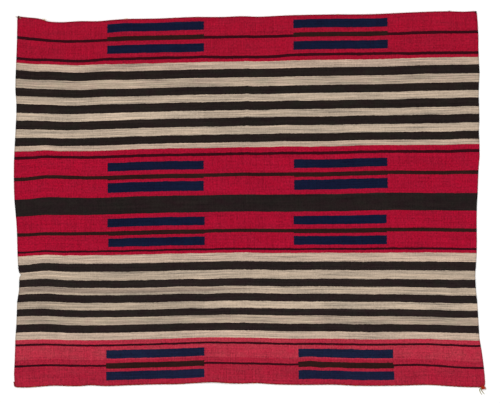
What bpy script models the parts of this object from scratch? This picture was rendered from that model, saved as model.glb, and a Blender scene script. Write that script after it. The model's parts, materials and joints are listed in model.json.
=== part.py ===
"""A handwoven Navajo rug of the chief-blanket kind, lying flat and seen face on, wider than it is long.

Metres, +Z up, +X to the right and +Y towards the top edge of the rug. The wefts run along X and the warps
along Y. The origin is the middle of the whole outline, on the surface that the rug lies on.

The rug is one woven sheet. A twined cord lies along its top end and another along its bottom end. Their
ends are tied off at three of the corners in small knots, the one at the bottom right with loose strands,
and at the bottom left the lower cord is turned round the corner instead. The sides have no cord of their
own: there the weft itself turns back.
"""

import math
from collections import namedtuple

import bmesh
import bpy
import numpy as np
from mathutils import Vector

MM = 0.001

# Driving sizes
CLOTH_THICKNESS = 2.4 * MM
CORD_THICKNESS = 4.0 * MM
CORD_GAP = 0.7 * MM

# How finely the sheet's own unevenness is followed
COLUMNS = 64
ROWS = 38
LEAST_STEP = 4.0 * MM
CORNER_STEPS = (8.0 * MM, 18.0 * MM, 30.0 * MM)

# The four corners of the outline, and how far each is drawn in diagonally where the cord turns or is tied
Corner = namedtuple("Corner", "x y draw reach")
TOP_LEFT = Corner(x=-893.5 * MM, y=718.0 * MM, draw=11.0 * MM, reach=32.0 * MM)
TOP_RIGHT = Corner(x=875.5 * MM, y=738.0 * MM, draw=9.0 * MM, reach=28.0 * MM)
BOTTOM_RIGHT = Corner(x=909.0 * MM, y=-712.0 * MM, draw=13.0 * MM, reach=34.0 * MM)
BOTTOM_LEFT = Corner(x=-907.5 * MM, y=-711.5 * MM, draw=7.5 * MM, reach=24.0 * MM)
CORNERS = (TOP_LEFT, TOP_RIGHT, BOTTOM_RIGHT, BOTTOM_LEFT)

# Each edge wanders from the straight line between its corners: millimetres along it, from the left or from
# the top, and millimetres outwards
EdgePoint = namedtuple("EdgePoint", "along out")
TOP_EDGE = (
    EdgePoint(0, 0),
    EdgePoint(30, -4),
    EdgePoint(90, -12),
    EdgePoint(120, -22),
    EdgePoint(152, -25),
    EdgePoint(245, -22),
    EdgePoint(305, -23),
    EdgePoint(370, -19),
    EdgePoint(430, -16),
    EdgePoint(550, -15),
    EdgePoint(675, -11),
    EdgePoint(797, -12),
    EdgePoint(860, -10),
    EdgePoint(920, -12.5),
    EdgePoint(1043, -8.5),
    EdgePoint(1200, -7),
    EdgePoint(1380, -7.5),
    EdgePoint(1475, -4),
    EdgePoint(1535, -2),
    EdgePoint(1660, 0),
    EdgePoint(1720, -2),
    EdgePoint(1770, 0),
)
BOTTOM_EDGE = (
    EdgePoint(0, 0),
    EdgePoint(43, 1),
    EdgePoint(105, -3),
    EdgePoint(136, -5.5),
    EdgePoint(259, -5),
    EdgePoint(289, -7.5),
    EdgePoint(351, -5),
    EdgePoint(443, -8),
    EdgePoint(566, -11.5),
    EdgePoint(627, -12),
    EdgePoint(689, -15.5),
    EdgePoint(781, -19),
    EdgePoint(812, -16.5),
    EdgePoint(873, -14.5),
    EdgePoint(935, -16),
    EdgePoint(996, -12),
    EdgePoint(1119, -9.5),
    EdgePoint(1242, -10),
    EdgePoint(1303, -7),
    EdgePoint(1365, -6),
    EdgePoint(1488, -7),
    EdgePoint(1611, -9),
    EdgePoint(1672, -5),
    EdgePoint(1734, -1.5),
    EdgePoint(1817, 0),
)
LEFT_EDGE = (
    EdgePoint(0, 0),
    EdgePoint(63, 0),
    EdgePoint(156, 2),
    EdgePoint(248, 4.5),
    EdgePoint(294, 4),
    EdgePoint(318, 1),
    EdgePoint(409, 1.5),
    EdgePoint(455, 3.5),
    EdgePoint(547, 7.5),
    EdgePoint(640, 6.5),
    EdgePoint(686, 5),
    EdgePoint(732, 0.5),
    EdgePoint(778, -4),
    EdgePoint(824, -7),
    EdgePoint(916, -10),
    EdgePoint(962, -13),
    EdgePoint(984, -17),
    EdgePoint(996, -24),
    EdgePoint(1008, -18),
    EdgePoint(1054, -18),
    EdgePoint(1077, -13),
    EdgePoint(1147, -9.5),
    EdgePoint(1193, -8),
    EdgePoint(1262, -4),
    EdgePoint(1308, -4),
    EdgePoint(1377, -1),
    EdgePoint(1392, -1),
    EdgePoint(1407, -5),
    EdgePoint(1430, -5),
)
RIGHT_EDGE = (
    EdgePoint(0, 0),
    EdgePoint(35, 2),
    EdgePoint(83, 4),
    EdgePoint(175, 3),
    EdgePoint(221, 5.5),
    EdgePoint(313, 0),
    EdgePoint(429, 0),
    EdgePoint(475, -3),
    EdgePoint(535, -1),
    EdgePoint(567, -2.5),
    EdgePoint(613, -7.5),
    EdgePoint(705, -13),
    EdgePoint(751, -17),
    EdgePoint(843, -19.5),
    EdgePoint(936, -22),
    EdgePoint(980, -26),
    EdgePoint(1005, -29),
    EdgePoint(1051, -29.5),
    EdgePoint(1120, -24),
    EdgePoint(1212, -20.5),
    EdgePoint(1258, -19),
    EdgePoint(1304, -12),
    EdgePoint(1350, -6),
    EdgePoint(1397, -2),
    EdgePoint(1450, 0),
)
SIDE_PULL = 0.2  # share of the width over which a side edge's wander dies away inwards
NOTCH_ROWS = (984.0 * MM, 996.0 * MM, 1008.0 * MM)  # down the left edge, where it is nicked

# Where the sheet stands a little off the floor: the two soft fold creases that run from end to end, and the
# puckers beside the places where the edges wander most. Half widths and heights in millimetres
Rise = namedtuple("Rise", "x y half_x half_y height")
CENTRE_CREASE = Rise(x=-6, y=0, half_x=16, half_y=1600, height=1.6)
LEFT_CREASE = Rise(x=-237, y=330, half_x=18, half_y=520, height=1.1)
TOP_LEFT_PUCKER = Rise(x=-765, y=672, half_x=95, half_y=80, height=2.6)
TOP_RIGHT_PUCKER = Rise(x=520, y=700, half_x=110, half_y=60, height=1.5)
NOTCH_PUCKER = Rise(x=-850, y=-277, half_x=80, half_y=70, height=2.2)
RIGHT_PUCKER = Rise(x=868, y=-315, half_x=75, half_y=140, height=2.0)
BOTTOM_PUCKER = Rise(x=-125, y=-690, half_x=120, half_y=60, height=1.8)
RISES = (
    CENTRE_CREASE,
    LEFT_CREASE,
    TOP_LEFT_PUCKER,
    TOP_RIGHT_PUCKER,
    NOTCH_PUCKER,
    RIGHT_PUCKER,
    BOTTOM_PUCKER,
)
CREASE_STEPS = (-1.0, -0.5, 0.0, 0.5, 1.0)  # in half widths of a crease

# The end cords. Each runs between two stations, as millimetres from the left and the right corner, swelling
# at each crossing of its strands
CordRun = namedtuple("CordRun", "from_left from_right")
TOP_RUN = CordRun(from_left=9.0, from_right=5.6)
BOTTOM_RUN = CordRun(from_left=26.0, from_right=8.6)
CORD_BEVEL = 2
BUMP_PITCH = 16.0 * MM
WAIST_SHARE = 0.8  # thickness between two swellings, as a share of the cord's own

# The lower cord's turn at the bottom left, in millimetres from that corner
TurnPoint = namedtuple("TurnPoint", "x y")
CORNER_TURN = (
    TurnPoint(-0.2, 23.0),
    TurnPoint(1.2, 18.0),
    TurnPoint(1.8, 13.0),
    TurnPoint(2.6, 8.6),
    TurnPoint(5.0, 4.8),
    TurnPoint(9.2, 2.4),
    TurnPoint(15.0, 1.6),
    TurnPoint(20.5, 1.5),
)

# The knots at the corners, in millimetres from their corner
Knot = namedtuple("Knot", "corner x y half_x half_y half_z turn")
KNOT_TOP_LEFT = Knot(TOP_LEFT, x=4.6, y=-3.0, half_x=6.0, half_y=5.0, half_z=3.4, turn=25)
KNOT_TOP_RIGHT = Knot(TOP_RIGHT, x=-5.0, y=-4.3, half_x=5.2, half_y=4.4, half_z=2.9, turn=-20)
KNOT_BOTTOM_RIGHT = Knot(BOTTOM_RIGHT, x=-8.0, y=1.6, half_x=7.4, half_y=7.2, half_z=4.6, turn=55)
LOOP_SHARE = 0.21  # half thickness of a knot's loops, as a share of its lesser half width
LOOP_STEPS = 54
HEART_SHARE = 0.82  # size of the closed heart inside the loops, as a share of the knot's
WELD_DISTANCE = 0.005 * MM

# Loose strands, in millimetres from their corner: the route and the thickness at its points
StrandPoint = namedtuple("StrandPoint", "x y z thick")
LONG_STRAND = (
    StrandPoint(-9.0, 0.4, 4.0, 2.0),
    StrandPoint(-16.0, -2.6, 2.4, 1.9),
    StrandPoint(-21.0, -5.5, 0.9, 1.8),
    StrandPoint(-22.4, -10.0, 0.85, 1.7),
    StrandPoint(-20.2, -17.0, 0.75, 1.5),
    StrandPoint(-16.4, -23.5, 0.6, 1.2),
    StrandPoint(-13.2, -28.6, 0.45, 0.9),
)
CROSS_STRAND = (
    StrandPoint(-9.0, -1.5, 3.6, 2.0),
    StrandPoint(-14.6, -6.0, 1.6, 1.8),
    StrandPoint(-14.8, -11.0, 0.85, 1.7),
    StrandPoint(-10.6, -17.4, 0.75, 1.5),
    StrandPoint(-6.4, -22.4, 0.6, 1.2),
    StrandPoint(-2.8, -26.4, 0.45, 0.9),
)
SHORT_STRAND = (
    StrandPoint(-5.0, 0.8, 3.6, 1.6),
    StrandPoint(0.6, -0.6, 1.6, 1.4),
    StrandPoint(1.9, -4.6, 0.65, 1.3),
    StrandPoint(1.2, -8.8, 0.5, 1.0),
)
LAID_STRAND = (
    StrandPoint(-8.6, 1.5, 6.4, 2.2),
    StrandPoint(-11.6, 8.0, 5.6, 2.0),
    StrandPoint(-13.2, 13.0, 3.9, 1.8),
    StrandPoint(-12.4, 18.0, 3.7, 1.4),
)
LEFT_TAIL = (
    StrandPoint(4.5, -3.2, 2.8, 1.6),
    StrandPoint(-1.0, -3.0, 0.8, 1.5),
    StrandPoint(-4.4, -2.6, 0.6, 1.2),
    StrandPoint(-7.2, -2.9, 0.45, 0.9),
)
LEFT_TUCK = (
    StrandPoint(5.4, -3.8, 4.6, 1.6),
    StrandPoint(10.6, -7.4, 4.2, 1.5),
    StrandPoint(15.0, -9.6, 3.5, 1.2),
)

# Linear colours of the finishes
Finish = namedtuple("Finish", "name colour roughness")
RED_WOOL = Finish("red_wool", (0.36, 0.012, 0.032), 0.9)
CORD_WOOL = Finish("cord_wool", (0.17, 0.018, 0.016), 0.9)
KNOT_WOOL = Finish("knot_wool", (0.52, 0.06, 0.02), 0.9)
DARK_WOOL = Finish("dark_wool", (0.045, 0.016, 0.012), 0.9)


def chord(start, end):
    """The length in metres of the straight line between two corners."""
    return math.hypot(end.x - start.x, end.y - start.y)


def wander(edge, along):
    """How far an edge lies outside its chord, in metres, at distances along it.

    A cubic curve through the table's points, whose slope at a point is that of its neighbours.
    """
    at = np.array([point.along for point in edge]) * MM
    out = np.array([point.out for point in edge]) * MM
    slope = np.gradient(out, at)
    i = np.clip(np.searchsorted(at, along) - 1, 0, len(at) - 2)
    step = at[i + 1] - at[i]
    t = (along - at[i]) / step
    return (
        (2 * t**3 - 3 * t**2 + 1) * out[i]
        + (t**3 - 2 * t**2 + t) * step * slope[i]
        + (3 * t**2 - 2 * t**3) * out[i + 1]
        + (t**3 - t**2) * step * slope[i + 1]
    )


def rug_point(across, up):
    """Where a point of the flat weave lies: shares across the rug from the left and up it from the bottom.

    The four corners give a plain four-sided field. The end edges' wander is shared out over the length, and
    a side edge's wander dies away inwards. Each corner is then drawn in towards the middle.
    """
    x = (1 - up) * ((1 - across) * BOTTOM_LEFT.x + across * BOTTOM_RIGHT.x)
    x = x + up * ((1 - across) * TOP_LEFT.x + across * TOP_RIGHT.x)
    y = (1 - up) * ((1 - across) * BOTTOM_LEFT.y + across * BOTTOM_RIGHT.y)
    y = y + up * ((1 - across) * TOP_LEFT.y + across * TOP_RIGHT.y)
    y = y + up * wander(TOP_EDGE, across * chord(TOP_LEFT, TOP_RIGHT))
    y = y - (1 - up) * wander(BOTTOM_EDGE, across * chord(BOTTOM_LEFT, BOTTOM_RIGHT))
    left = np.clip(1 - across / SIDE_PULL, 0, 1) ** 2
    right = np.clip(1 - (1 - across) / SIDE_PULL, 0, 1) ** 2
    x = x - left * wander(LEFT_EDGE, (1 - up) * chord(TOP_LEFT, BOTTOM_LEFT))
    x = x + right * wander(RIGHT_EDGE, (1 - up) * chord(TOP_RIGHT, BOTTOM_RIGHT))
    for corner in CORNERS:
        near = np.clip(1 - np.hypot(x - corner.x, y - corner.y) / corner.reach, 0, 1)
        inwards = corner.draw * near**2 / math.sqrt(2)
        x = x - math.copysign(1, corner.x) * inwards
        y = y - math.copysign(1, corner.y) * inwards
    return x, y


def rise(x, y):
    """How high the underside stands off the floor there: the tallest of the soft cosine humps."""
    height = np.zeros(np.broadcast(x, y).shape)
    for hump in RISES:
        share_x = np.clip(np.abs(x - hump.x * MM) / (hump.half_x * MM), 0, 1)
        share_y = np.clip(np.abs(y - hump.y * MM) / (hump.half_y * MM), 0, 1)
        swell = (np.cos(share_x * math.pi / 2) * np.cos(share_y * math.pi / 2)) ** 2
        height = np.maximum(height, hump.height * MM * swell)
    return height


def stations(count, low, high, extras, length):
    """Shares from low to high: even ones, and the extras where they are some way from those kept so far."""
    kept = [low, high]
    even = list(np.linspace(low, high, count + 1)[1:-1])
    for share in list(extras) + even:
        if low < share < high and min(abs(share - k) for k in kept) * length > LEAST_STEP:
            kept.append(share)
    return np.array(sorted(kept))


def column_stations():
    """Shares across the rug at which its form is worked out, close together at corners and creases."""
    width = chord(BOTTOM_LEFT, BOTTOM_RIGHT)
    extras = [step / width for step in CORNER_STEPS] + [1 - step / width for step in CORNER_STEPS]
    for crease in (CENTRE_CREASE, LEFT_CREASE):
        for step in CREASE_STEPS:
            x = (crease.x + step * crease.half_x) * MM
            extras.append((x - BOTTOM_LEFT.x) / width)
    return stations(COLUMNS, 0.0, 1.0, extras, width)


def row_stations():
    """Shares up the cloth at which its form is worked out, between its two end cords."""
    length = chord(TOP_LEFT, BOTTOM_LEFT)
    inset = (CORD_THICKNESS + CORD_GAP) / length
    extras = [inset + step / length for step in CORNER_STEPS]
    extras += [1 - inset - step / length for step in CORNER_STEPS]
    extras += [1 - row / length for row in NOTCH_ROWS]
    return stations(ROWS, inset, 1 - inset, extras, length)


def material(finish):
    """A plain Principled material in a finish's colour."""
    made = bpy.data.materials.new(finish.name)
    made.use_nodes = True
    shader = made.node_tree.nodes["Principled BSDF"]
    shader.inputs["Base Color"].default_value = (*finish.colour, 1.0)
    shader.inputs["Roughness"].default_value = finish.roughness
    shader.inputs["Metallic"].default_value = 0.0
    return made


def add_object(name, data, collection, parent, finish):
    """Places data as a named object under a parent, in a finish."""
    data.materials.append(finish)
    made = bpy.data.objects.new(name, data)
    collection.objects.link(made)
    made.parent = parent
    return made


def cloth(collection, parent, finish):
    """The woven sheet: a grid laid on the floor by rug_point and rise, given its thickness upwards."""
    across, up = column_stations(), row_stations()
    columns, rows = len(across) - 1, len(up) - 1
    mesh = bpy.data.meshes.new("rug_cloth")
    bm = bmesh.new()
    bmesh.ops.create_grid(bm, x_segments=columns, y_segments=rows, size=0.5)
    for vertex in bm.verts:
        share = across[round((vertex.co.x + 0.5) * columns)]
        height = up[round((vertex.co.y + 0.5) * rows)]
        x, y = rug_point(share, height)
        vertex.co = (x, y, float(rise(x, y)))
    bm.to_mesh(mesh)
    bm.free()
    made = add_object("rug_cloth", mesh, collection, parent, finish)
    thicken = made.modifiers.new("thickness", "SOLIDIFY")
    thicken.thickness = CLOTH_THICKNESS
    thicken.offset = 1.0
    return made


def cord_curve(name, places, thickness, shares, bevel=CORD_BEVEL, closed=False):
    """A tube along a list of places, as thick at each as its share says, with filled caps unless closed.

    A bevel of 0 gives four sides, set square to the floor.
    """
    curve = bpy.data.curves.new(name, "CURVE")
    curve.dimensions = "3D"
    curve.bevel_depth = thickness / 2
    curve.bevel_resolution = bevel
    curve.use_fill_caps = not closed
    curve.twist_mode = "Z_UP"
    spline = curve.splines.new("POLY")
    spline.points.add(len(places) - 1)
    for point, place, share in zip(spline.points, places, shares):
        point.co = (*place, 1.0)
        point.radius = share
        point.tilt = math.pi / 4 if bevel == 0 else 0.0
    spline.use_cyclic_u = closed
    return curve


def end_cord_places(end, run):
    """Places along the top (end 1) or the bottom (end 0) of the rug, between the ends of a run.

    They lie on the straight steps between the sheet's own columns, two of them to each swelling.
    """
    left, right = (TOP_LEFT, TOP_RIGHT) if end else (BOTTOM_LEFT, BOTTOM_RIGHT)
    width = chord(left, right)
    low, high = run.from_left * MM / width, 1 - run.from_right * MM / width
    inner = [share for share in column_stations() if low < share < high]
    across = np.array([low, *inner, high])
    inset = CORD_THICKNESS / 2 / chord(TOP_LEFT, BOTTOM_LEFT)
    x, y = rug_point(across, 1 - inset if end else inset)
    z = rise(x, y) + CORD_THICKNESS / 2
    bumps = round((high - low) * width / BUMP_PITCH)
    steps = np.linspace(low, high, 2 * bumps + 1)
    return [Vector(place) for place in zip(*(np.interp(steps, across, values) for values in (x, y, z)))]


def end_cords(collection, parent, finish):
    """The twined cords along the two ends. The lower one carries on round the bottom left corner."""
    top = end_cord_places(1, TOP_RUN)
    turn = [
        Vector((BOTTOM_LEFT.x + point.x * MM, BOTTOM_LEFT.y + point.y * MM, CORD_THICKNESS / 2))
        for point in CORNER_TURN
    ]
    bottom = turn + end_cord_places(0, BOTTOM_RUN)
    for name, places in (("end_cord_top", top), ("end_cord_bottom", bottom)):
        swelling = [1.0 if i % 2 else WAIST_SHARE for i in range(len(places))]
        curve = cord_curve(name, places, CORD_THICKNESS, swelling)
        add_object(name, curve, collection, parent, finish)


def as_mesh(name, curve):
    """A curve's tube as a closed mesh, with its caps welded on."""
    holder = bpy.data.objects.new(name, curve)
    bpy.context.scene.collection.objects.link(holder)
    bpy.context.view_layer.update()
    evaluated = holder.evaluated_get(bpy.context.evaluated_depsgraph_get())
    mesh = bpy.data.meshes.new_from_object(evaluated)
    bpy.data.objects.remove(holder)
    bm = bmesh.new()
    bm.from_mesh(mesh)
    bmesh.ops.remove_doubles(bm, verts=bm.verts, dist=WELD_DISTANCE)
    bm.to_mesh(mesh)
    bm.free()
    return mesh


def knot_place(knot, x, y, z):
    """A point of a knot, from millimetres along its own turned width and depth and above the floor."""
    turn = math.radians(knot.turn)
    across = knot.x + x * math.cos(turn) - y * math.sin(turn)
    up = knot.y + x * math.sin(turn) + y * math.cos(turn)
    return Vector((knot.corner.x + across * MM, knot.corner.y + up * MM, z * MM))


def knot_loops(knot):
    """The loops of a drawn-tight overhand knot: a trefoil, pressed to the knot's width, depth and height."""
    half = LOOP_SHARE * min(knot.half_x, knot.half_y)
    places = []
    for i in range(LOOP_STEPS):
        t = 2 * math.pi * i / LOOP_STEPS
        x = (math.sin(t) + 2 * math.sin(2 * t)) / 3 * (knot.half_x - half)
        y = (math.cos(t) - 2 * math.cos(2 * t)) / 3 * (knot.half_y - half)
        z = knot.half_z - math.sin(3 * t) * (knot.half_z - half)
        places.append(knot_place(knot, x, y, z))
    even = [1.0] * LOOP_STEPS
    return as_mesh("loops", cord_curve("loops", places, 2 * half * MM, even, bevel=1, closed=True))


def knot_heart(knot):
    """The closed heart of a knot, a squat ellipsoid that the loops are wound on."""
    mesh = bpy.data.meshes.new("heart")
    bm = bmesh.new()
    bmesh.ops.create_icosphere(bm, subdivisions=2, radius=HEART_SHARE)
    for vertex in bm.verts:
        x, y, z = vertex.co
        vertex.co = knot_place(knot, x * knot.half_x, y * knot.half_y, (1 + z) * knot.half_z)
    bm.to_mesh(mesh)
    bm.free()
    return mesh


def strand_mesh(corner, route):
    """A loose strand of yarn, four-sided and tapering, along its table's route."""
    places = [
        Vector((corner.x + point.x * MM, corner.y + point.y * MM, point.z * MM)) for point in route
    ]
    thickest = max(point.thick for point in route)
    taper = [point.thick / thickest for point in route]
    return as_mesh("strand", cord_curve("strand", places, thickest * MM, taper, bevel=0))


def tied_corner(name, knot, routes, homes, parent, finish):
    """A knot with its loops, and any loose strands, fused into one solid."""
    collection, guides = homes
    made = add_object(name, knot_heart(knot), collection, parent, finish)
    pieces = [knot_loops(knot)] + [strand_mesh(knot.corner, route) for route in routes]
    for i, piece in enumerate(pieces):
        guide = add_object(f"{name}_join_{i}", piece, guides, parent, finish)
        guide.hide_render = True
        guide.display_type = "WIRE"
        join = made.modifiers.new(f"join_{i}", "BOOLEAN")
        join.operation = "UNION"
        join.object = guide
    return made


def centre_on_origin(parent, collection):
    """Moves the whole rug so that the middle of its outline is over the origin."""
    bpy.context.view_layer.update()
    graph = bpy.context.evaluated_depsgraph_get()
    places = []
    for made in collection.objects:
        if made.type != "EMPTY":
            shape = made.evaluated_get(graph)
            places += [made.matrix_world @ vertex.co for vertex in shape.to_mesh().vertices]
            shape.to_mesh_clear()
    for axis in (0, 1):
        values = [place[axis] for place in places]
        parent.location[axis] = -(min(values) + max(values)) / 2


def main():
    """Clears the scene and lays out the rug: the sheet, its end cords and its tied corners."""
    for old in list(bpy.data.objects):
        bpy.data.objects.remove(old)
    rug = bpy.data.collections.new("navajo_rug")
    guides = bpy.data.collections.new("joined_shapes")
    bpy.context.scene.collection.children.link(rug)
    bpy.context.scene.collection.children.link(guides)
    parent = bpy.data.objects.new("rug_centre", None)
    rug.objects.link(parent)
    cord_wool, dark_wool = material(CORD_WOOL), material(DARK_WOOL)
    cloth(rug, parent, material(RED_WOOL))
    end_cords(rug, parent, cord_wool)
    homes = (rug, guides)
    tied_corner("corner_knot_top_left", KNOT_TOP_LEFT, (LEFT_TAIL, LEFT_TUCK), homes, parent, dark_wool)
    tied_corner("corner_knot_top_right", KNOT_TOP_RIGHT, (), homes, parent, dark_wool)
    strands = (LONG_STRAND, CROSS_STRAND, SHORT_STRAND, LAID_STRAND)
    tied_corner(
        "corner_tassel_bottom_right", KNOT_BOTTOM_RIGHT, strands, homes, parent, material(KNOT_WOOL)
    )
    centre_on_origin(parent, rug)


main()
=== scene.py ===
"""A handwoven wool rug of the chief-blanket kind, laid out flat and seen from straight above.

The sheet is a weft-faced tapestry: its warps stand as fine ribs along Y, and its wefts, packed over
them, make the stripes and the blocks along X. A cord of three twisted strands lies along each end and is
tied off at three of the corners. The rug's own sizes are in millimetres from the middle of the loom's
rectangle. They are turned into metres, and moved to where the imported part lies, as each mesh is made.
"""

from __future__ import annotations

import json
import logging
import math
from dataclasses import dataclass
from enum import Enum
from typing import Any, Callable, Sequence

import bpy
import numpy as np
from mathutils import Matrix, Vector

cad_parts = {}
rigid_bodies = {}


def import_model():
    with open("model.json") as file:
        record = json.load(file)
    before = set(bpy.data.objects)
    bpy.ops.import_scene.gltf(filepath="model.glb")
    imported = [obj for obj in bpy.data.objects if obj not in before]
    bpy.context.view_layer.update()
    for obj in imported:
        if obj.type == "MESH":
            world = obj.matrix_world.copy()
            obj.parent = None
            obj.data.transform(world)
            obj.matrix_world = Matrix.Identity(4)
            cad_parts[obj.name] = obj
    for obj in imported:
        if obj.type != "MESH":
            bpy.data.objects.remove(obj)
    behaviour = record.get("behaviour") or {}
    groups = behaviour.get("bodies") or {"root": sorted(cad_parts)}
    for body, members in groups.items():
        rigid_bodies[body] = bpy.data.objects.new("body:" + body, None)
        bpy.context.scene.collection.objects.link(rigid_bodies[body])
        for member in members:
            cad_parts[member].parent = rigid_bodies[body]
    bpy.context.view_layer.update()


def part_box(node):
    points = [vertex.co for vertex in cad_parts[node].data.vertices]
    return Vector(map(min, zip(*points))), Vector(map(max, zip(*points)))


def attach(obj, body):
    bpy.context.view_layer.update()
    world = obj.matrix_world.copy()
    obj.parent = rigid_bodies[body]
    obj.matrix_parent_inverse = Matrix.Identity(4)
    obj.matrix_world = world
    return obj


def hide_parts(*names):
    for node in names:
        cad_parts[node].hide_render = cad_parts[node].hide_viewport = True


LOG = logging.getLogger("navajo_rug")

MM = 0.001
WIDTH = 1780.0  # of the sheet, along its wefts
LENGTH = 1412.0  # of the sheet with its end cords, along its warps
THICKNESS = 2.4  # of the sheet
CORD_THICKNESS = 4.0
CORD_GAP = 0.7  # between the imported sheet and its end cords
RIB_PITCH = 3.2  # from one warp rib to the next
BEAD_PITCH = 1.5  # from one pair of packed wefts to the next
PLY_SIDES = 10  # points round a yarn
TWIST_PITCH = 6.0  # the length of one turn of a yarn's fibres
FIBRE_STRETCH = 0.12  # how much longer than wide the fibres' relief is, as a share
SHEET_TUCK = 0.55  # how far the sheet's ends reach in between the strands of their cords


class Slot(Enum):
    """The record's material slots."""

    SHEET = "woven_wool"
    END_CORD = "end_cord_wool"
    DARK_KNOT = "dark_knot_wool"
    ORANGE_KNOT = "orange_knot_wool"


@dataclass(frozen=True)
class Corner:
    """A corner of the outline, and how far and from how far off it is drawn in diagonally."""

    x: float
    y: float
    draw: float
    reach: float


@dataclass(frozen=True)
class EdgePoint:
    """A place along an edge, and how far the edge lies outside the straight line between its corners."""

    along: float
    out: float


@dataclass(frozen=True)
class Rise:
    """A soft hump where the sheet stands a little off the floor."""

    x: float
    y: float
    half_x: float
    half_y: float
    height: float


@dataclass(frozen=True)
class Pull:
    """A place where the wefts run higher or lower than an even weave: across and down are its middle."""

    across: float
    down: float
    half_across: float
    half_down: float
    lift: float


def edge(*points: tuple[float, float]) -> tuple[EdgePoint, ...]:
    """An edge's places, from pairs of how far along and how far out each one is."""
    return tuple(EdgePoint(along, out) for along, out in points)


TOP_LEFT = Corner(x=-893.5, y=718.0, draw=4.0, reach=14.0)
TOP_RIGHT = Corner(x=875.5, y=738.0, draw=4.5, reach=14.0)
BOTTOM_RIGHT = Corner(x=909.0, y=-712.0, draw=7.0, reach=22.0)
BOTTOM_LEFT = Corner(x=-907.5, y=-711.5, draw=4.0, reach=16.0)

TOP_EDGE = edge(
    (0, 0), (30, -4), (90, -12), (120, -22), (152, -25), (245, -22), (305, -23), (370, -19), (430, -16),
    (550, -15), (675, -11), (797, -12), (860, -10), (920, -12.5), (1043, -8.5), (1200, -7),
    (1380, -7.5), (1475, -4), (1535, -2), (1660, 0), (1720, -2), (1770, 0),
)
BOTTOM_EDGE = edge(
    (0, 0), (43, 1), (105, -3), (136, -5.5), (259, -5), (289, -7.5), (351, -5), (443, -8), (566, -11.5),
    (627, -12), (689, -15.5), (781, -19), (812, -16.5), (873, -14.5), (935, -16), (996, -12),
    (1119, -9.5), (1242, -10), (1303, -7), (1365, -6), (1488, -7), (1611, -9), (1672, -5), (1734, -1.5),
    (1817, 0),
)
LEFT_EDGE = edge(
    (0, 0), (63, 0), (156, 2), (248, 4.5), (294, 4), (318, 1), (409, 1.5), (455, 3.5), (547, 7.5),
    (640, 6.5), (686, 5), (732, 0.5), (778, -4), (824, -7), (916, -10), (962, -13), (984, -17),
    (996, -24), (1008, -18), (1054, -18), (1077, -13), (1147, -9.5), (1193, -8), (1262, -4), (1308, -4),
    (1377, -1), (1392, -1), (1407, -3), (1416, -3.5), (1430, -5),
)
RIGHT_EDGE = edge(
    (0, 0), (35, 2), (83, 4), (175, 3), (221, 5.5), (313, 0), (429, 0), (475, -3), (535, -1),
    (567, -2.5), (613, -7.5), (705, -13), (751, -17), (843, -19.5), (936, -22), (980, -26), (1005, -29),
    (1051, -29.5), (1120, -24), (1212, -20.5), (1258, -19), (1304, -12), (1350, -6), (1397, -2),
    (1450, 0),
)
EDGE_REACH = 110.0  # how far in from an end its small steps show in the weave
SIDE_PULL = 0.2  # share of the width over which a side edge's wander dies away inwards

RISES = (
    Rise(-6, 0, 16, 1600, 1.6),
    Rise(-237, 330, 18, 520, 1.1),
    Rise(-765, 672, 95, 80, 2.6),
    Rise(520, 700, 110, 60, 1.5),
    Rise(-850, -277, 80, 70, 2.2),
    Rise(868, -315, 75, 140, 2.0),
    Rise(-125, -690, 120, 60, 1.8),
)
PULLS = (
    Pull(0, 640, 130, 520, -13.0),
    Pull(165, 215, 130, 215, 6.0),
    Pull(165, 610, 130, 170, 5.5),
    Pull(90, 1040, 210, 230, 10.5),
    Pull(90, 1300, 210, 112, 5.5),
    Pull(1385, 650, 210, 400, 6.0),
    Pull(1720, 1085, 240, 200, -7.0),
    Pull(1720, 1333, 240, 79, -6.0),
    Pull(720, 706, 150, 706, -3.5),
    Pull(525, 1060, 120, 350, -1.5),
    Pull(327, 230, 120, 230, 4.5),
    Pull(300, 1010, 130, 230, 3.0),
    Pull(1745, 480, 120, 460, 4.5),
    Pull(1745, 1060, 110, 240, 3.0),
    Pull(40, 130, 80, 130, -3.5),
    Pull(70, 1190, 170, 110, 4.5),
    Pull(25, 950, 105, 55, -6.0),
    Pull(888, 350, 16, 420, 1.5),
    Pull(1330, 350, 160, 350, 2.0),
    Pull(1540, 1060, 130, 260, -4.5),
    Pull(730, 1080, 80, 200, -3.0),
    Pull(1020, 460, 120, 220, 2.5),
    Pull(665, 110, 110, 90, -3.0),
    Pull(400, 35, 90, 60, 2.2),
    Pull(1110, 1330, 60, 75, 4.0),
)


def srgb(red: int, green: int, blue: int) -> tuple[float, float, float]:
    """A colour as the eye names it, 0 to 255, in linear light."""
    return tuple(
        c / 12.92 if c <= 0.04045 else ((c + 0.055) / 1.055) ** 2.4
        for c in (red / 255, green / 255, blue / 255)
    )


def hermite(at: np.ndarray, values: np.ndarray, where: np.ndarray) -> np.ndarray:
    """A cubic through the points (at, values), whose slope at each is that of its neighbours.

    Args:
        at: rising places of the points.
        values: the value at each.
        where: the places to read.

    Returns:
        The curve's value at each place.
    """
    slope = np.gradient(values, at)
    i = np.clip(np.searchsorted(at, where) - 1, 0, len(at) - 2)
    step = at[i + 1] - at[i]
    t = (where - at[i]) / step
    start = (2 * t**3 - 3 * t**2 + 1) * values[i] + (t**3 - 2 * t**2 + t) * step * slope[i]
    end = (3 * t**2 - 2 * t**3) * values[i + 1] + (t**3 - t**2) * step * slope[i + 1]
    return start + end


def chord(start: Corner, end: Corner) -> float:
    """The straight distance between two corners."""
    return math.hypot(end.x - start.x, end.y - start.y)


def wander(edge: Sequence[EdgePoint], along: np.ndarray) -> np.ndarray:
    """How far an edge lies outside its chord at distances along it."""
    at = np.array([point.along for point in edge], float)
    out = np.array([point.out for point in edge], float)
    return hermite(at, out, along)


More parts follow.
